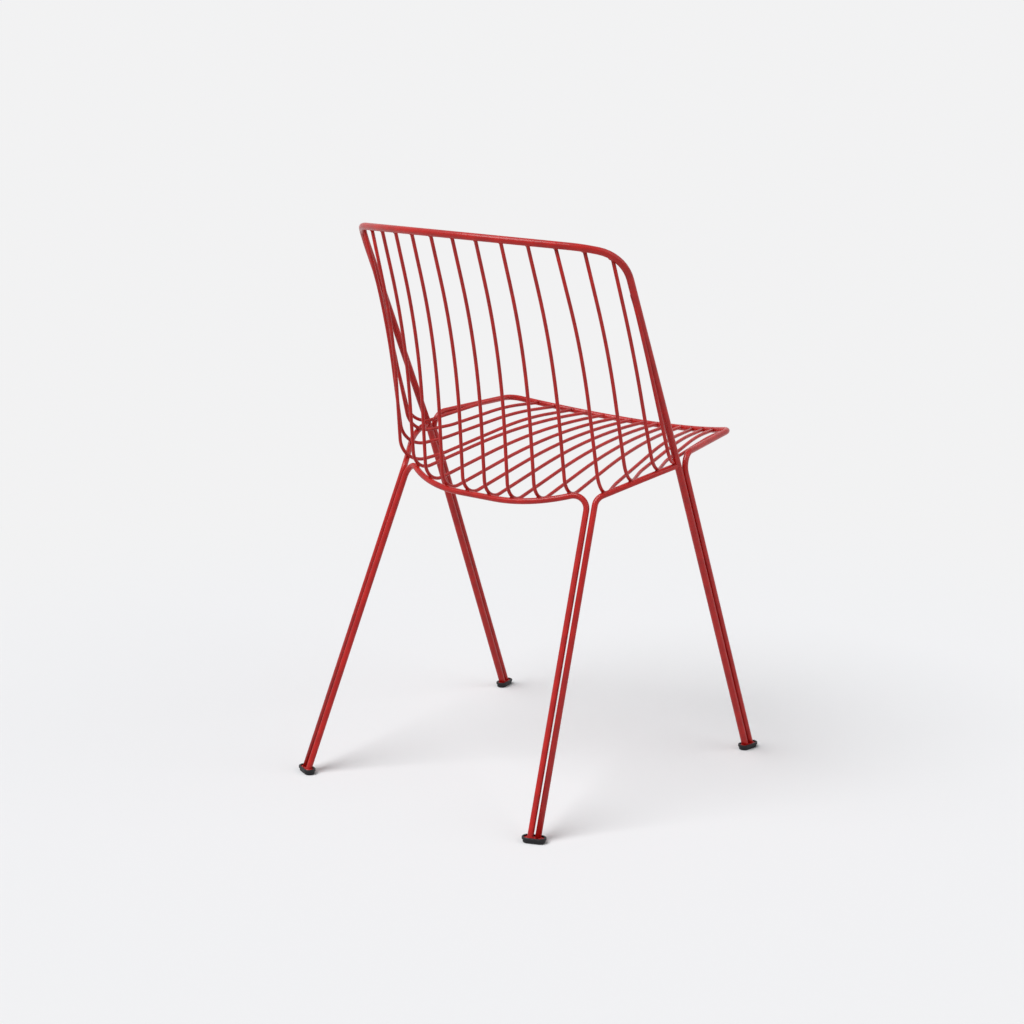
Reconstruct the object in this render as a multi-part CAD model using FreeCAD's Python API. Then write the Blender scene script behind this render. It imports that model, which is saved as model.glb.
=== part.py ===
# Stacking wire chair: a bent back hoop, a seat frame, three rails and sixteen wires, welded into one body.
# Millimetres. Z is up, the front faces -Y, and the sitter's left is +X. The origin is on the floor,
# under the middle of the whole chair. Shapes are drawn once for the left side and mirrored.
import FreeCAD, Part
import math
import os

Vector = FreeCAD.Vector

# Rods and wires
hoop_diameter = 10.0
rod_diameter = 8.5
wire_diameter = 5.0
weld_bite = 0.3

# Feet: where each pair of leg rods meets its foot plate, and how the pair is turned
front_foot_half_width = 231.5
front_foot_forward = 230.0
front_pair_angle = 9.2
rear_foot_half_width = 207.1
rear_foot_back = 250.4
rear_pair_angle = 22.4
leg_gap = 2.0

# Foot plates and glides
plate_length = 28.0
plate_width = 12.0
plate_thickness = 3.0
plate_corner = 0.6
pocket_clearance = 0.2
glide_floor = 3.4
glide_height = 8.0
glide_rim_wall = 2.6
glide_rim_height = 3.0
glide_rim_round = 0.8
glide_waist = 1.3
glide_base_round = 1.8

# Back hoop, from the bend at seat height over the corner of the back to the middle of the top
knee_half_width = 225.4
knee_forward = 44.7
knee_height = 455.8
knee_radius = 374.0
corner_half_width = 228.2
corner_back = 92.4
corner_height = 761.3
corner_radius = 60.0
shoulder_half_width = 191.7
shoulder_back = 130.9
shoulder_height = 773.1
shoulder_radius = 108.0
top_half_width = 86.2
top_back = 188.9
top_height = 782.3

# Seat frame: up the front legs, forward along the sides and across the front
frame_bend_height = 474.0
frame_bend_radius = 20.6
front_corner_half_width = 199.9
front_corner_forward = 207.7
front_corner_height = 480.0
front_corner_radius = 33.0
front_apex_forward = 322.2
front_apex_height = 433.5
front_apex_radius = 348.0

# Rear rail: up one back leg, across under the back and down the other leg
rail_bend_half_width = 160.4
rail_bend_back = 71.9
rail_bend_height = 435.8
rail_bend_radius = 18.7
rail_middle_half_width = 88.5
rail_middle_back = 115.9
rail_middle_height = 414.9
rail_middle_radius = 190.0

# Side rails: up the back leg and forward to the hoop
side_bend_height = 428.1
side_bend_radius = 18.7
side_joint_run = 490.3

# Wires: where they meet the front of the frame, the rails and the hoop
wires_per_side = 8
wires_on_rear_rail = 4
front_pitch = 24.4
front_outer_half_width = 193.0
front_lift = 1.5
heel_pitch = 39.0
side_heel_first = 15.5
side_heel_pitch = 34.2
heel_setback = 5.2
heel_drop = 6.6
heel_inset = 3.0
heel_radius = 28.0
top_pitch = 36.8
seat_crown_radius = 1760.0
seat_crown_place = 0.38
back_bow = 23.0
back_bow_place = 0.57
back_bow_wires = 7.5

# Derived sizes
hoop_radius = hoop_diameter / 2
rod_radius = rod_diameter / 2
wire_radius = wire_diameter / 2
plate_top = glide_floor + plate_thickness
front_pair_distance = hoop_radius + rod_radius + leg_gap
rear_pair_distance = rod_diameter + leg_gap
leg_trim = hoop_diameter
arc_share = 0.97
seek_steps = 40
settle_steps = 8


def unit(vector):
    """Return a copy of the vector with length one."""
    return Vector(vector) / vector.Length


def mirrored(point):
    """Return the point on the other side of the chair."""
    return Vector(-point.x, point.y, point.z)


def both_sides(points):
    """Return the left side's points followed by the right side's, in reverse order."""
    return points + [mirrored(point) for point in reversed(points)]


def turn_at(before, corner, after):
    """Return the angle through which a path turns at a corner."""
    return (corner - before).getAngle(after - corner)


def rounded_path(points, radii):
    """Join straight runs by tangent arcs. Arcs that would overlap share the run between them."""
    triples = list(zip(points, points[1:], points[2:]))
    turns = [turn_at(*triple) for triple in triples]
    reaches = [0.0] + [radius * math.tan(turn / 2) for radius, turn in zip(radii, turns)] + [0.0]
    runs = [a.distanceToPoint(b) for a, b in zip(points, points[1:])]
    fits = [min(1.0, arc_share * run / max(a + b, wire_radius))
            for run, a, b in zip(runs, reaches, reaches[1:])]
    edges = []
    start = points[0]
    for index, (before, corner, after) in enumerate(triples):
        reach = reaches[index + 1] * min(fits[index], fits[index + 1])
        half = turns[index] / 2
        back = unit(before - corner)
        onward = unit(after - corner)
        middle = corner + unit(back + onward) * (reach * (1 - math.cos(half)) / math.sin(half))
        edges.append(Part.LineSegment(start, corner + back * reach).toShape())
        edges.append(Part.Arc(corner + back * reach, middle, corner + onward * reach).toShape())
        start = corner + onward * reach
    edges.append(Part.LineSegment(start, points[-1]).toShape())
    return Part.Wire(edges)


def filling_radius(before, corner, after):
    """Return the largest radius whose arc fits the shorter of the two runs at a corner."""
    run = min(before.distanceToPoint(corner), corner.distanceToPoint(after))
    return arc_share * run / math.tan(turn_at(before, corner, after) / 2)


def point_along(path, distance):
    """Return the point at a distance from the start of a path."""
    for edge in path.Edges:
        if distance <= edge.Length:
            break
        distance -= edge.Length
    return edge.valueAt(edge.getParameterByLength(min(distance, edge.Length)))


def point_at_width(path, half_width):
    """Return the left-side point of a path from left to right that lies at a half width."""
    low = 0.0
    high = path.Length / 2
    for _ in range(seek_steps):
        middle = (low + high) / 2
        if point_along(path, middle).x > half_width:
            low = middle
        else:
            high = middle
    return point_along(path, low)


def tube(path, diameter):
    """Sweep a round section along a path."""
    first = path.Edges[0]
    start = first.FirstParameter
    section = Part.Circle(first.valueAt(start), first.tangentAt(start), diameter / 2).toShape()
    solid = path.makePipeShell([Part.Wire(section)], True, False)
    expected = math.pi * diameter ** 2 / 4 * path.Length
    swept_ratios.append(solid.Volume / expected)
    return solid


def coped(solid, *others):
    """Cut a rod where it meets others, and keep its body."""
    for other in others:
        solid = solid.cut(other)
    return max(solid.Solids, key=lambda piece: piece.Volume)


def leg_start(foot, towards):
    """Return a point below a foot, on the line of the leg, so that the end can be cut level."""
    return foot - unit(towards - foot) * leg_trim


def cut_level(solid):
    """Cut the lower ends of a rod level with the tops of the foot plates."""
    reach = 2 * (front_foot_half_width + rear_foot_back + front_foot_forward)
    below = Part.makeBox(reach, reach, reach, Vector(-reach / 2, -reach / 2, plate_top - reach))
    return coped(solid, below)


def pair_offset(angle_from_side, distance):
    """Return half of the step, outward and forward, from one leg rod of a pair to the other."""
    angle = math.radians(angle_from_side)
    return Vector(math.cos(angle), -math.sin(angle), 0) * (distance / 2)


def obround(length, width, height, direction, base):
    """Return a solid bar with round ends, its length along a direction, standing on a base point."""
    straight = length - width
    bar = Part.makeBox(straight, width, height, Vector(-straight / 2, -width / 2, 0))
    for end in (-straight / 2, straight / 2):
        bar = bar.fuse(Part.makeCylinder(width / 2, height, Vector(end, 0, 0)))
    bar = bar.removeSplitter()
    bar.rotate(Vector(0, 0, 0), Vector(0, 0, 1), math.degrees(math.atan2(direction.y, direction.x)))
    bar.translate(base)
    return bar


def rounded_edges(solid, height, radius):
    """Round the edges of a solid that lie at a height."""
    level = [edge for edge in solid.Edges
             if abs(edge.BoundBox.ZMin - height) < radius / 100 and abs(edge.BoundBox.ZMax - height) < radius / 100]
    return solid.makeFillet(radius, level)


def foot_plate(foot, direction):
    """Return the steel plate that a pair of leg rods stands on."""
    base = Vector(foot.x, foot.y, glide_floor)
    plate = obround(plate_length, plate_width, plate_thickness, direction, base)
    return rounded_edges(plate, plate_top, plate_corner)


def glide(foot, direction):
    """Return the plastic glide: a cup with a rim, a drawn-in waist and a pocket for the plate."""
    rim_length = plate_length + 2 * (pocket_clearance + glide_rim_wall)
    rim_width = plate_width + 2 * (pocket_clearance + glide_rim_wall)
    base = Vector(foot.x, foot.y, 0)
    body = obround(rim_length - 2 * glide_waist, rim_width - 2 * glide_waist, glide_height, direction, base)
    body = rounded_edges(body, 0, glide_base_round)
    rim_base = base + Vector(0, 0, glide_height - glide_rim_height)
    rim = obround(rim_length, rim_width, glide_rim_height, direction, rim_base)
    rim = rounded_edges(rim, glide_height, glide_rim_round)
    pocket = obround(plate_length + 2 * pocket_clearance, plate_width + 2 * pocket_clearance,
                     glide_height, direction, base + Vector(0, 0, glide_floor))
    return body.fuse(rim).removeSplitter().cut(pocket)


swept_ratios = []

# Feet of the left side, at the tops of the plates
front_foot = Vector(front_foot_half_width, -front_foot_forward, plate_top)
rear_foot = Vector(rear_foot_half_width, rear_foot_back, plate_top)
front_step = pair_offset(90 - front_pair_angle, front_pair_distance)
rear_step = pair_offset(rear_pair_angle, rear_pair_distance)

# Back hoop
knee = Vector(knee_half_width, -knee_forward, knee_height)
top_point = Vector(top_half_width, top_back, top_height)
hoop_points = both_sides([
    leg_start(front_foot - front_step, knee),
    knee,
    Vector(corner_half_width, corner_back, corner_height),
    Vector(shoulder_half_width, shoulder_back, shoulder_height),
    top_point,
])
top_radius = filling_radius((top_point + mirrored(top_point)) / 2, top_point, hoop_points[3])
hoop_radii = [knee_radius, corner_radius, shoulder_radius, top_radius]
hoop_path = rounded_path(hoop_points, hoop_radii + hoop_radii[::-1])
back_hoop = cut_level(tube(hoop_path, hoop_diameter))

# Seat frame, whose legs run beside the hoop's
front_leg_slope = (knee - (front_foot - front_step)) / (knee_height - plate_top)
frame_bend = front_foot + front_step + front_leg_slope * (frame_bend_height - plate_top)
frame_points = [
    leg_start(front_foot + front_step, frame_bend),
    frame_bend,
    Vector(front_corner_half_width, -front_corner_forward, front_corner_height),
]
front_apex = Vector(0, -front_apex_forward, front_apex_height)
frame_points = frame_points + [front_apex] + [mirrored(point) for point in reversed(frame_points)]
frame_radii = [frame_bend_radius, front_corner_radius]
frame_path = rounded_path(frame_points, frame_radii + [front_apex_radius] + frame_radii[::-1])
seat_frame = cut_level(tube(frame_path, rod_diameter))

# Rear rail
rail_bend = Vector(rail_bend_half_width, rail_bend_back, rail_bend_height)
rail_points = both_sides([
    leg_start(rear_foot - rear_step, rail_bend),
    rail_bend,
    Vector(rail_middle_half_width, rail_middle_back, rail_middle_height),
])
rail_radii = [rail_bend_radius, rail_middle_radius]
rail_path = rounded_path(rail_points, rail_radii + rail_radii[::-1])
rear_rail = cut_level(tube(rail_path, rod_diameter))

# Left side rail, whose leg runs beside the rear rail's, ending against the hoop
rear_leg_slope = (rail_bend - (rear_foot - rear_step)) / (rail_bend_height - plate_top)
side_bend = rear_foot + rear_step + rear_leg_slope * (side_bend_height - plate_top)
side_joint = point_along(hoop_path, leg_trim + side_joint_run)
side_points = [leg_start(rear_foot + rear_step, side_bend), side_bend, side_joint]
side_path = rounded_path(side_points, [side_bend_radius])
side_rail = coped(cut_level(tube(side_path, rod_diameter)), back_hoop)


def wire_points(number, heel):
    """Return the corners of a wire from the front of the seat over its crown to the top of the back."""
    half_width = front_outer_half_width if number == wires_per_side - 1 else front_pitch * (number + 0.5)
    front = point_at_width(frame_path, half_width) + Vector(0, 0, front_lift)
    top = point_along(hoop_path, hoop_path.Length / 2 - top_pitch * (number + 0.5))
    rise = front.distanceToPoint(heel) ** 2 / (4 * seat_crown_radius)
    crown = front + (heel - front) * seat_crown_place + Vector(0, 0, rise)
    bow = back_bow * (1 - (number / back_bow_wires) ** 2)
    back = heel + (top - heel) * back_bow_place - Vector(0, bow, 0)
    return [front, crown, heel, back, top]


def wire_path(number, heel):
    """Return the path of a wire whose heel bend has its corner at a point."""
    points = wire_points(number, heel)
    crown_radius = filling_radius(points[0], points[1], (points[1] + points[2]) / 2)
    bow_radius = filling_radius((points[2] + points[3]) / 2, points[3], points[4])
    return rounded_path(points, [crown_radius, heel_radius, bow_radius])


def resting_wire(number):
    """Return a wire of the left side, moved until its heel bend rests on the rail that carries it."""
    if number < wires_on_rear_rail:
        carrier = rail_path
        contact = point_at_width(rail_path, heel_pitch * (number + 0.5))
        heel = contact + Vector(0, heel_setback, -heel_drop)
    else:
        carrier = side_path
        steps = wires_per_side - 1 - number
        contact = point_along(side_path, side_path.Length - side_heel_first - side_heel_pitch * steps)
        heel = contact + Vector(-heel_inset, heel_setback, -heel_drop)
    spacing = rod_radius + wire_radius - weld_bite
    for _ in range(settle_steps):
        path = wire_path(number, heel)
        distance, places, _details = path.distToShape(carrier)
        on_wire, on_carrier = places[0]
        heel = heel + unit(on_wire - on_carrier) * (spacing - distance)
    rest_gaps.append(abs(spacing - distance))
    return coped(tube(wire_path(number, heel), wire_diameter), back_hoop, seat_frame, rear_rail, side_rail)


rest_gaps = []
pieces = {
    "back_hoop": back_hoop,
    "seat_frame": seat_frame,
    "rear_rail": rear_rail,
}


def add_both_sides(left_name, right_name, shape):
    """Keep a left-side piece and its mirror image."""
    pieces[left_name] = shape
    pieces[right_name] = shape.mirror(Vector(0, 0, 0), Vector(1, 0, 0))


add_both_sides("side_rail_left", "side_rail_right", side_rail)
for number in range(wires_per_side):
    left_name = "seat_back_wire_%02d" % (wires_per_side - number)
    right_name = "seat_back_wire_%02d" % (wires_per_side + 1 + number)
    add_both_sides(left_name, right_name, resting_wire(number))
for place, foot, step in (("front", front_foot, front_step), ("rear", rear_foot, rear_step)):
    add_both_sides("foot_plate_%s_left" % place, "foot_plate_%s_right" % place, foot_plate(foot, step))
    add_both_sides("glide_%s_left" % place, "glide_%s_right" % place, glide(foot, step))

# Centre the whole chair over the origin
whole = Part.makeCompound(list(pieces.values())).optimalBoundingBox(True, False)
centring = Vector(0, -(whole.YMin + whole.YMax) / 2, 0)
os.makedirs("parts", exist_ok=True)
for name, shape in pieces.items():
    shape.translate(centring)
    shape.exportStep("parts/%s.step" % name)

print("pieces", len(pieces), "solids", sum(len(shape.Solids) for shape in pieces.values()))
print("valid", all(shape.isValid() for shape in pieces.values()))
print("size %.1f x %.1f x %.1f" % (whole.XLength, whole.YLength, whole.ZLength), "moved back %.2f" % centring.y)
print("swept volume over section times length %.4f to %.4f" % (min(swept_ratios), max(swept_ratios)))
print("largest miss of a heel on its rail %.3f" % max(rest_gaps))
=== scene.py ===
import math

import bmesh
import bpy
import numpy as np
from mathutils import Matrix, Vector
from mathutils.bvhtree import BVHTree


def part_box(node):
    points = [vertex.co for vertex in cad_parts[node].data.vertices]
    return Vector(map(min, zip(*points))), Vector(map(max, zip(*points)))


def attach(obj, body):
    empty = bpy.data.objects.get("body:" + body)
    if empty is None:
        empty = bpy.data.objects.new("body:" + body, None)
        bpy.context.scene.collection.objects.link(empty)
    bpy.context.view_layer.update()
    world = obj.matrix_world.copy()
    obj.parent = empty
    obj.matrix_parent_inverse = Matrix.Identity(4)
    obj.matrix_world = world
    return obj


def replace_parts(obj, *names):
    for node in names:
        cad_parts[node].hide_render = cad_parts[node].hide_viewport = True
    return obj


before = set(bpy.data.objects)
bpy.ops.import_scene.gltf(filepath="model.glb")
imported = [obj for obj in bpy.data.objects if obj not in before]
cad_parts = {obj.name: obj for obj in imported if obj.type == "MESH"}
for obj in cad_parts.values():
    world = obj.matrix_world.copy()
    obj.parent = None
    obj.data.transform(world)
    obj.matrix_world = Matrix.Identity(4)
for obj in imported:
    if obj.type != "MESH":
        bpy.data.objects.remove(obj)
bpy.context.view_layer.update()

# Camera, solved from the photograph
CAMERA_PLACE = Vector((-1.8777, 2.3832, 1.1297))
CAMERA_TURN = 218.742
CAMERA_DOWN = 14.101
FOCAL_PIXELS = 2194.2
PHOTO_PIXELS = 1024
SENSOR = 36.0

# Colours, as linear values
RED = (0.45, 0.007, 0.004, 1.0)
RED_DEEP = (0.36, 0.004, 0.003, 1.0)
BLACK = (0.006, 0.006, 0.007, 1.0)
BLACK_WORN = (0.012, 0.012, 0.014, 1.0)
BACKGROUND = (0.888, 0.888, 0.893, 1.0)
FLOOR = (0.80, 0.805, 0.82, 1.0)

# Grain of the finishes, as noise scales
CLOUD_SCALE = 60.0
PEEL_SCALE = 900.0
SCUFF_SCALE = 120.0
GRAIN_SCALE = 1400.0

# Floor: how far it stays itself, where it has become the background, and its edge
FLOOR_CLEAR = 0.7
FLOOR_FAR = 1.7
FLOOR_RADIUS = 60.0
FLOOR_STEPS = 96

# Light: the even light round the chair, and the azimuth, height, strength and width of each lamp
WORLD_LIGHT = 0.18
LAMPS = {
    "key_light": (160.0, 58.0, 2.9, 42.0),
    "fill_light": (285.0, 35.0, 0.75, 55.0),
}

# Steel sizes
WIRE_RADIUS = 0.0025
ROD_RADIUS = 0.00425
TUBE_SIDES = 16
PATH_SPACING = 0.0025
SEARCH_SPACING = 0.001

# A bend as long as its corner has room for, and the share of that room that a bend may take
LONG_BEND = 2.0
ARC_SHARE = 0.97

# Left side wires, outermost first: corners of the crown, the flare, the heel bend and the back
SIDE_WIRES = {
    "01": ((0.2030, -0.1500, 0.4800), (0.2165, -0.0440, 0.4690),
           (0.2325, -0.0120, 0.4620), (0.2305, 0.0460, 0.6250)),
    "02": ((0.1735, -0.1600, 0.4745), (0.1940, -0.0550, 0.4600),
           (0.2190, 0.0080, 0.4540), (0.2170, 0.0580, 0.6310)),
    "03": ((0.1515, -0.1540, 0.4690), (0.1765, -0.0190, 0.4490),
           (0.2010, 0.0450, 0.4410), (0.1950, 0.0830, 0.6310)),
    "04": ((0.1280, -0.1490, 0.4640), (0.1555, 0.0100, 0.4335),
           (0.1765, 0.0745, 0.4250), (0.1670, 0.1025, 0.6260)),
}
FIRST_WIRE = "01"
FLARE_RADIUS = 0.090
FIRST_FLARE_RADIUS = 0.030
HEEL_RADIUS = 0.040
HEEL_CORNER = 3
WELD_BITE = 0.0004
SETTLE_STEPS = 12

# A wire's end: how far along its seam vertices count, and how deep it goes under the surface it meets
END_REACH = 0.02
END_DEPTH = 0.0030

# Left side rail: its bend over the back leg, the corner of its bow and its joint with the hoop
RAIL_BEND = (0.1709, 0.0753, 0.4281)
RAIL_BOW = (0.2200, -0.0008, 0.4570)
RAIL_JOINT = (0.2255, -0.0379, 0.4615)
RAIL_BEND_RADIUS = 0.0187
RAIL_BOW_RADIUS = 0.180

# Weld beads: rings round the rods' ends, and blobs where the heels lie on the rails
ON_SURFACE = 0.00015
END_BEAD = 0.0009
OUTER_TOP_BEAD = 0.00045
ROD_BEAD = 0.0013
FOOT_BEAD = 0.0012
RING_STEPS = 32
RING_LUMPS = 5
RING_WAVE = 0.12
BEAD_SIDES = 8
BLOB_LENGTH = 0.0036
BLOB_WIDTH = 0.0026
BLOB_HEIGHT = 0.8
BLOB_ROWS = 8
BLOB_SIDES = 16
BLOB_LUMPS = 3
BLOB_WAVE = 0.08
CONTACT_STEP = 0.001

WIRES = [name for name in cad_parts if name.startswith("seat_back_wire")]
LEG_RODS = ["back_hoop", "seat_frame", "rear_rail", "side_rail_left", "side_rail_right"]
GLIDES = [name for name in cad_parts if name.startswith("glide")]


def new_material(name):
    """Return an empty node material, its node tree's nodes and links, and its shader."""
    material = bpy.data.materials.new(name)
    material.use_nodes = True
    nodes = material.node_tree.nodes
    return material, nodes, material.node_tree.links, nodes["Principled BSDF"]


def noise(nodes, links, scale, detail, roughness=0.5):
    """Return a noise texture in object coordinates."""
    place = nodes.new("ShaderNodeTexCoord")
    texture = nodes.new("ShaderNodeTexNoise")
    texture.inputs["Scale"].default_value = scale
    texture.inputs["Detail"].default_value = detail
    texture.inputs["Roughness"].default_value = roughness
    links.new(place.outputs["Object"], texture.inputs["Vector"])
    return texture


def ramp(nodes, links, source, low, high, start=0.35, end=0.65):
    """Return a colour that runs from low to high as a source value rises."""
    node = nodes.new("ShaderNodeValToRGB")
    node.color_ramp.elements[0].position = start
    node.color_ramp.elements[0].color = low
    node.color_ramp.elements[1].position = end
    node.color_ramp.elements[1].color = high
    links.new(source, node.inputs["Fac"])
    return node.outputs["Color"]


def spread(nodes, links, source, low, high):
    """Return a value between low and high that follows a source value."""
    node = nodes.new("ShaderNodeMapRange")
    node.inputs["From Min"].default_value = 0.3
    node.inputs["From Max"].default_value = 0.7
    node.inputs["To Min"].default_value = low
    node.inputs["To Max"].default_value = high
    links.new(source, node.inputs["Value"])
    return node.outputs["Result"]


def bump(nodes, links, source, shader, distance, strength):
    """Raise a surface by a source value."""
    node = nodes.new("ShaderNodeBump")
    node.inputs["Distance"].default_value = distance
    node.inputs["Strength"].default_value = strength
    links.new(source, node.inputs["Height"])
    links.new(node.outputs["Normal"], shader.inputs["Normal"])


def powder_coat():
    """Red powder coat: a faint cloudiness of colour, an orange-peel skin and a clear gloss."""
    material, nodes, links, shader = new_material("red_powder_coat")
    cloud = noise(nodes, links, CLOUD_SCALE, 3.0)
    peel = noise(nodes, links, PEEL_SCALE, 2.0)
    links.new(ramp(nodes, links, cloud.outputs["Fac"], RED_DEEP, RED), shader.inputs["Base Color"])
    links.new(spread(nodes, links, peel.outputs["Fac"], 0.30, 0.42), shader.inputs["Roughness"])
    shader.inputs["Specular IOR Level"].default_value = 0.28
    shader.inputs["Coat Weight"].default_value = 0.18
    shader.inputs["Coat Roughness"].default_value = 0.12
    bump(nodes, links, peel.outputs["Fac"], shader, 0.00012, 0.35)
    return material


def moulded_plastic():
    """Black moulded plastic with a fine grain and slightly greyed high spots."""
    material, nodes, links, shader = new_material("black_moulded_plastic")
    grain = noise(nodes, links, GRAIN_SCALE, 3.0)
    scuffs = noise(nodes, links, SCUFF_SCALE, 4.0, 0.6)
    links.new(ramp(nodes, links, scuffs.outputs["Fac"], BLACK, BLACK_WORN), shader.inputs["Base Color"])
    links.new(spread(nodes, links, scuffs.outputs["Fac"], 0.42, 0.58), shader.inputs["Roughness"])
    shader.inputs["Specular IOR Level"].default_value = 0.3
    bump(nodes, links, grain.outputs["Fac"], shader, 0.00010, 0.5)
    return material


def turn_outwards(mesh):
    """Turn a closed mesh's faces outwards where they face in."""
    measured = bmesh.new()
    measured.from_mesh(mesh)
    volume = measured.calc_volume(signed=True)
    measured.free()
    if volume < 0:
        mesh.flip_normals()


def mesh_piece(name, points, faces, material):
    """Make a smooth mesh piece of the chair's steel that rides on its only body."""
    mesh = bpy.data.meshes.new(name)
    mesh.from_pydata([tuple(point) for point in points], [], faces)
    mesh.polygons.foreach_set("use_smooth", [True] * len(mesh.polygons))
    mesh.materials.append(material)
    turn_outwards(mesh)
    mesh.update()
    piece = bpy.data.objects.new(name, mesh)
    bpy.context.scene.collection.objects.link(piece)
    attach(piece, "root")
    return piece


def rounded(corners, radii):
    """Return points along straight runs that are joined by tangent arcs.

    A long bend shares its shorter run with the next bend, so it takes half the room there."""
    points = [Vector(corner) for corner in corners]
    path = [points[0]]
    for before, corner, after, radius in zip(points, points[1:], points[2:], radii):
        back = (before - corner).normalized()
        onward = (after - corner).normalized()
        half = (corner - before).angle(after - corner) / 2
        room = ARC_SHARE * min((before - corner).length, (after - corner).length)
        if radius == LONG_BEND:
            room = room / 2
        reach = min(radius * math.tan(half), room)
        radius = reach / math.tan(half)
        centre = corner + (back + onward).normalized() * (radius / math.cos(half))
        steps = max(4, int(2 * half * radius / PATH_SPACING))
        first = corner + back * reach - centre
        last = corner + onward * reach - centre
        for step in range(steps + 1):
            share = step / steps
            way = first * math.sin((1 - share) * 2 * half) + last * math.sin(share * 2 * half)
            path.append(centre + way / math.sin(2 * half))
    path.append(points[-1])
    return path


def tube(name, path, radius, material, node):
    """Make a round rod along a path, in place of one of the frame's nodes."""
    path = [Vector(point) for point in path]
    tangents = [(after - before).normalized() for before, after in zip(path, path[1:])]
    middles = [(before + after).normalized() for before, after in zip(tangents, tangents[1:])]
    tangents = [tangents[0]] + middles + [tangents[-1]]
    side = tangents[0].orthogonal().normalized()
    places = []
    for point, tangent in zip(path, tangents):
        side = (side - tangent * side.dot(tangent)).normalized()
        other = tangent.cross(side)
        for step in range(TUBE_SIDES):
            turn = 2 * math.pi * step / TUBE_SIDES
            places.append(point + (side * math.cos(turn) + other * math.sin(turn)) * radius)
    faces = []
    for row in range(len(path) - 1):
        here = row * TUBE_SIDES
        ahead = here + TUBE_SIDES
        for step in range(TUBE_SIDES):
            after = (step + 1) % TUBE_SIDES
            faces.append((here + step, here + after, ahead + after, ahead + step))
    faces.append(tuple(reversed(range(TUBE_SIDES))))
    faces.append(tuple(range(len(places) - TUBE_SIDES, len(places))))
    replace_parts(mesh_piece(name, places, faces, material), node)


def mirrored(points):
    """Return points, or a direction, on the other side of the chair."""
    return np.array(points) * (-1.0, 1.0, 1.0)


def unit(vector):
    """Return a vector's direction."""
    return vector / np.linalg.norm(vector)


def vertices(node):
    """Return a node's vertices as an array."""
    return np.array([vertex.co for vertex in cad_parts[node].data.vertices])


def surface(node):
    """Return a search tree of a node's surface."""
    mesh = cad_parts[node].data
    points = [vertex.co for vertex in mesh.vertices]
    return BVHTree.FromPolygons(points, [face.vertices for face in mesh.polygons])


def seam(node, tree):
    """Return a node's vertices that lie on another node's surface."""
    found = [point for point in vertices(node) if tree.find_nearest(Vector(point), ON_SURFACE)[0] is not None]
    return np.unique(np.round(np.array(found).reshape(-1, 3), 7), axis=0)


def plane_axes(points):
    """Return the middle of a flat set of points and its long, short and normal directions."""
    middle = points.mean(axis=0)
    _, _, axes = np.linalg.svd(points - middle)
    return middle, axes


def end_of(node, tree, axis, highest):
    """Return a place just under another node's surface, where the frame's wire ends on it."""
    points = seam(node, tree)
    values = points[:, axis] if highest else -points[:, axis]
    middle = points[values > values.max() - END_REACH].mean(axis=0)
    place, normal, _, _ = tree.find_nearest(Vector(middle))
    return np.array(place - normal * END_DEPTH)


def filled(path):
    """Return a path's points at a close, even spacing."""
    points = np.array([tuple(point) for point in path])
    lengths = np.concatenate([[0.0], np.cumsum(np.linalg.norm(np.diff(points, axis=0), axis=1))])
    places = np.linspace(0.0, lengths[-1], int(lengths[-1] / SEARCH_SPACING))
    return np.stack([np.interp(places, lengths, points[:, k]) for k in range(3)], axis=1)


def nearest(path, other):
    """Return the closest points of two paths and the second path's direction there."""
    first = filled(path)
    second = filled(other)
    gaps = np.linalg.norm(first[:, None] - second[None], axis=2)
    here, there = np.unravel_index(gaps.argmin(), gaps.shape)
    there = max(there, 1)
    return first[here], second[there], second[there] - second[there - 1]


def resting(route, radii, rail):
    """Move a route's heel corner until the rounded wire rests on the rail.

    Return the wire's path, its closest point and the rail's, and the rail's direction there."""
    spacing = ROD_RADIUS + WIRE_RADIUS - WELD_BITE
    for _ in range(SETTLE_STEPS):
        on_wire, on_rail, along = nearest(rounded(route, radii), rail)
        away = on_wire - on_rail
        gap = np.linalg.norm(away)
        route[HEEL_CORNER] = tuple(np.array(route[HEEL_CORNER]) + away / gap * (spacing - gap))
    return rounded(route, radii), on_wire, on_rail, along


def rail_route():
    """Return the left side rail's path from its foot to the hoop."""
    points = vertices("side_rail_left")
    foot = points[points[:, 2] < points[:, 2].min() + ON_SURFACE].mean(axis=0)
    return rounded([tuple(foot), RAIL_BEND, RAIL_BOW, RAIL_JOINT], (RAIL_BEND_RADIUS, RAIL_BOW_RADIUS))


def ring(points):
    """Return evenly turned points round the closed seam that a set of points lies on."""
    middle, axes = plane_axes(points)
    flat = (points - middle) @ axes.T
    angles = np.arctan2(flat[:, 1], flat[:, 0])
    order = np.argsort(angles)
    steps = np.linspace(-math.pi, math.pi, RING_STEPS, endpoint=False)
    columns = [np.interp(steps, angles[order], flat[order, k], period=2 * math.pi) for k in range(3)]
    return middle, axes, np.stack(columns, axis=1)


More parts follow.
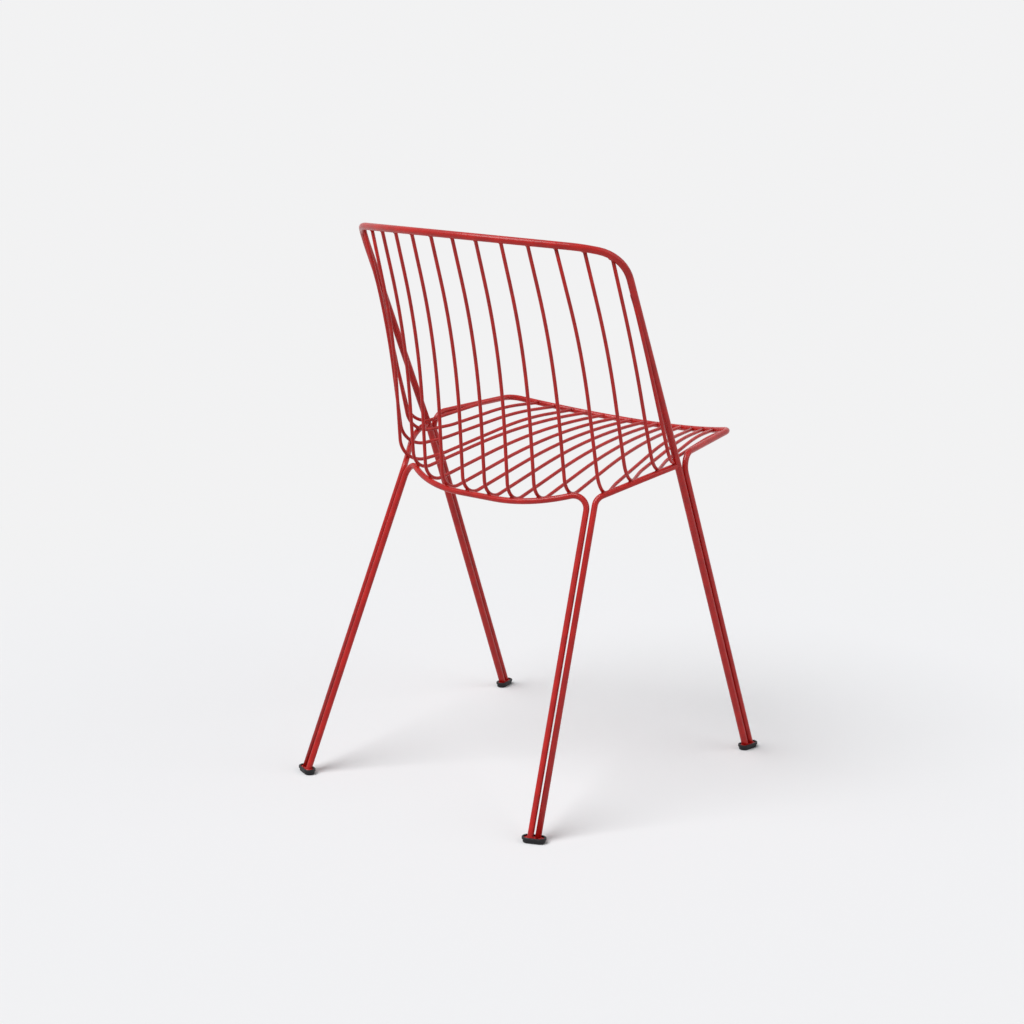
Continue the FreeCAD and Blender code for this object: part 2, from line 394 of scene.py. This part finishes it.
def ring_bead(name, points, radius, material):
    """Lay a fillet of weld along the seam round a rod's end."""
    middle, axes, path = ring(points)
    steps = len(path)
    wave = 1 + RING_WAVE * np.sin(np.arange(steps) * 2 * math.pi * RING_LUMPS / steps)
    places = []
    for index in range(steps):
        outward = np.array([path[index][0], path[index][1], 0.0])
        outward = outward / np.linalg.norm(outward)
        for side in range(BEAD_SIDES):
            turn = 2 * math.pi * side / BEAD_SIDES
            step = outward * math.cos(turn) + np.array([0.0, 0.0, 1.0]) * math.sin(turn)
            places.append(middle + (path[index] + step * radius * wave[index]) @ axes)
    faces = []
    for index in range(steps):
        here = index * BEAD_SIDES
        there = (index + 1) % steps * BEAD_SIDES
        for side in range(BEAD_SIDES):
            after = (side + 1) % BEAD_SIDES
            faces.append((here + side, there + side, there + after, here + after))
    mesh_piece(name, places, faces, material)


def blob_bead(name, points, along, material):
    """Lay a lens of weld where a wire lies against a rail."""
    middle, axes = plane_axes(points)
    normal = axes[2]
    along = unit(along - normal * np.dot(along, normal))
    across = np.cross(normal, along)
    places = []
    for row in range(BLOB_ROWS + 1):
        rise = math.pi * row / BLOB_ROWS
        reach = math.sin(rise)
        for side in range(BLOB_SIDES):
            turn = 2 * math.pi * side / BLOB_SIDES
            uneven = 1 + BLOB_WAVE * math.sin(BLOB_LUMPS * turn + row)
            places.append(middle + along * BLOB_LENGTH * reach * math.cos(turn) * uneven
                          + across * BLOB_WIDTH * reach * math.sin(turn) * uneven
                          + normal * BLOB_WIDTH * BLOB_HEIGHT * math.cos(rise))
    faces = []
    for row in range(BLOB_ROWS):
        here = row * BLOB_SIDES
        below = here + BLOB_SIDES
        for side in range(BLOB_SIDES):
            after = (side + 1) % BLOB_SIDES
            faces.append((here + side, here + after, below + after, below + side))
    mesh_piece(name, places, faces, material)


def dress_side_wire(node, path, contact, along, material):
    """Put a bent wire in a node's place and weld its heel to the rail."""
    number = node[-2:]
    tube("formed_wire_" + number, path, WIRE_RADIUS, material, node)
    blob_bead("weld_heel_" + number, contact, along, material)


def side_wires(material):
    """Bend the four outer wires of each side, which flare round the hoop's arm to heels on the side rail."""
    hoop = surface("back_hoop")
    front = surface("seat_frame")
    rail = rail_route()
    for number, corners in SIDE_WIRES.items():
        left = "seat_back_wire_" + number
        right = "seat_back_wire_%02d" % (len(WIRES) + 1 - int(number))
        start = end_of(left, front, 1, False)
        stop = end_of(left, hoop, 2, True)
        flare = FIRST_FLARE_RADIUS if number == FIRST_WIRE else FLARE_RADIUS
        radii = (LONG_BEND, flare, HEEL_RADIUS, LONG_BEND)
        path, on_wire, on_rail, along = resting([tuple(start), *corners, tuple(stop)], radii, rail)
        away = unit(on_wire - on_rail)
        along = unit(along)
        across = unit(np.cross(along, away))
        middle = on_rail + away * (ROD_RADIUS - WELD_BITE / 2)
        contact = middle + np.array([along, -along, across, -across]) * CONTACT_STEP
        dress_side_wire(left, path, contact, along, material)
        dress_side_wire(right, mirrored(path), mirrored(contact), mirrored(along), material)


def side_rails(material):
    """Bend the side rails, which bow outwards from the back legs to the hoop."""
    path = rail_route()
    tube("bowed_rail_left", path, ROD_RADIUS, material, "side_rail_left")
    tube("bowed_rail_right", mirrored(path), ROD_RADIUS, material, "side_rail_right")


def weld_wires(material):
    """Weld each wire to the hoop and the front of the frame, and the middle wires to the rear rail."""
    hoop = surface("back_hoop")
    front = surface("seat_frame")
    rail = surface("rear_rail")
    for wire in WIRES:
        number = wire[-2:]
        top = seam(wire, hoop)
        bead = OUTER_TOP_BEAD if wire in (WIRES[0], WIRES[-1]) else END_BEAD
        high = top[top[:, 2] > top[:, 2].max() - END_REACH]
        ring_bead("weld_top_" + number, high, bead, material)
        ends = seam(wire, front)
        low = ends[ends[:, 1] < ends[:, 1].min() + END_REACH]
        ring_bead("weld_front_" + number, low, END_BEAD, material)
        contact = seam(wire, rail)
        if len(contact) > 3:
            blob_bead("weld_heel_" + number, contact, np.array((1.0, 0.0, 0.0)), material)


def weld_feet(material):
    """Weld each leg rod to its foot plate. The four plates are as high as each other."""
    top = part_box("foot_plate_front_left")[1].z
    for rod in LEG_RODS:
        points = vertices(rod)
        level = points[abs(points[:, 2] - top) < ON_SURFACE]
        for side, keep in (("left", level[:, 0] > 0), ("right", level[:, 0] < 0)):
            if keep.any():
                rim = np.unique(level[keep], axis=0)
                ring_bead("weld_foot_%s_%s" % (rod, side), rim, FOOT_BEAD, material)


def weld_side_rails(material):
    """Weld the side rails to the hoop."""
    hoop = surface("back_hoop")
    for side in ("left", "right"):
        ring_bead("weld_rail_" + side, seam("side_rail_" + side, hoop), ROD_BEAD, material)


def dress_frame(steel, plastic):
    """Give the steel and the glides their finishes."""
    for name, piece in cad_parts.items():
        finish = plastic if name in GLIDES else steel
        for slot in piece.material_slots:
            slot.material = finish


def shown_to_viewer(nodes, links):
    """Return 1 for rays from the camera, from gloss and through glass."""
    path = nodes.new("ShaderNodeLightPath")
    total = nodes.new("ShaderNodeMath")
    total.operation = "MAXIMUM"
    links.new(path.outputs["Is Camera Ray"], total.inputs[0])
    links.new(path.outputs["Is Glossy Ray"], total.inputs[1])
    both = nodes.new("ShaderNodeMath")
    both.operation = "MAXIMUM"
    links.new(total.outputs["Value"], both.inputs[0])
    links.new(path.outputs["Is Transmission Ray"], both.inputs[1])
    return both.outputs["Value"]


def floor_material():
    """A pale matt floor that keeps the chair's shadow and runs out into the background."""
    material, nodes, links, shader = new_material("pale_floor")
    shader.inputs["Base Color"].default_value = FLOOR
    shader.inputs["Roughness"].default_value = 0.9
    shader.inputs["Specular IOR Level"].default_value = 0.0
    glow = nodes.new("ShaderNodeEmission")
    glow.inputs["Color"].default_value = BACKGROUND
    place = nodes.new("ShaderNodeTexCoord")
    reach = nodes.new("ShaderNodeVectorMath")
    reach.operation = "LENGTH"
    links.new(place.outputs["Object"], reach.inputs[0])
    fade = nodes.new("ShaderNodeMapRange")
    fade.interpolation_type = "SMOOTHSTEP"
    fade.inputs["From Min"].default_value = FLOOR_CLEAR
    fade.inputs["From Max"].default_value = FLOOR_FAR
    links.new(reach.outputs["Value"], fade.inputs["Value"])
    share = nodes.new("ShaderNodeMath")
    share.operation = "MULTIPLY"
    links.new(fade.outputs["Result"], share.inputs[0])
    links.new(shown_to_viewer(nodes, links), share.inputs[1])
    mix = nodes.new("ShaderNodeMixShader")
    links.new(share.outputs["Value"], mix.inputs["Fac"])
    links.new(shader.outputs["BSDF"], mix.inputs[1])
    links.new(glow.outputs["Emission"], mix.inputs[2])
    links.new(mix.outputs["Shader"], nodes["Material Output"].inputs["Surface"])
    return material


def make_floor():
    """Lay a round floor about the chair."""
    mesh = bpy.data.meshes.new("floor")
    turns = [2 * math.pi * step / FLOOR_STEPS for step in range(FLOOR_STEPS)]
    rim = [(FLOOR_RADIUS * math.cos(turn), FLOOR_RADIUS * math.sin(turn), 0.0) for turn in turns]
    mesh.from_pydata(rim, [], [tuple(range(FLOOR_STEPS))])
    mesh.materials.append(floor_material())
    floor = bpy.data.objects.new("floor", mesh)
    bpy.context.scene.collection.objects.link(floor)


def make_world():
    """Surround the chair with an even pale light, and show the background's colour to the viewer."""
    world = bpy.data.worlds.new("studio")
    bpy.context.scene.world = world
    world.use_nodes = True
    nodes = world.node_tree.nodes
    links = world.node_tree.links
    lit = nodes["Background"]
    lit.inputs["Color"].default_value = (1.0, 1.0, 1.0, 1.0)
    lit.inputs["Strength"].default_value = WORLD_LIGHT
    seen = nodes.new("ShaderNodeBackground")
    seen.inputs["Color"].default_value = BACKGROUND
    mix = nodes.new("ShaderNodeMixShader")
    links.new(shown_to_viewer(nodes, links), mix.inputs["Fac"])
    links.new(lit.outputs["Background"], mix.inputs[1])
    links.new(seen.outputs["Background"], mix.inputs[2])
    links.new(mix.outputs["Shader"], nodes["World Output"].inputs["Surface"])


def sun(name, azimuth, height, energy, width):
    """Add a soft distant lamp, with its azimuth, its height and its width in the sky in degrees."""
    lamp = bpy.data.lights.new(name, "SUN")
    lamp.energy = energy
    lamp.angle = math.radians(width)
    piece = bpy.data.objects.new(name, lamp)
    piece.rotation_euler = (math.radians(90 - height), 0, math.radians(azimuth))
    bpy.context.scene.collection.objects.link(piece)


def make_camera():
    """Stand the camera where the photograph was taken."""
    data = bpy.data.cameras.new("camera")
    data.sensor_width = SENSOR
    data.lens = FOCAL_PIXELS / PHOTO_PIXELS * SENSOR
    data.clip_end = 200.0
    camera = bpy.data.objects.new("camera", data)
    camera.location = CAMERA_PLACE
    camera.rotation_euler = (math.radians(90 - CAMERA_DOWN), 0, math.radians(CAMERA_TURN))
    bpy.context.scene.collection.objects.link(camera)
    bpy.context.scene.camera = camera


steel = powder_coat()
dress_frame(steel, moulded_plastic())
side_wires(steel)
side_rails(steel)
weld_wires(steel)
weld_feet(steel)
weld_side_rails(steel)

make_camera()
make_floor()
make_world()
for name, (azimuth, height, energy, width) in LAMPS.items():
    sun(name, azimuth, height, energy, width)
bpy.context.scene.view_settings.view_transform = "Standard"
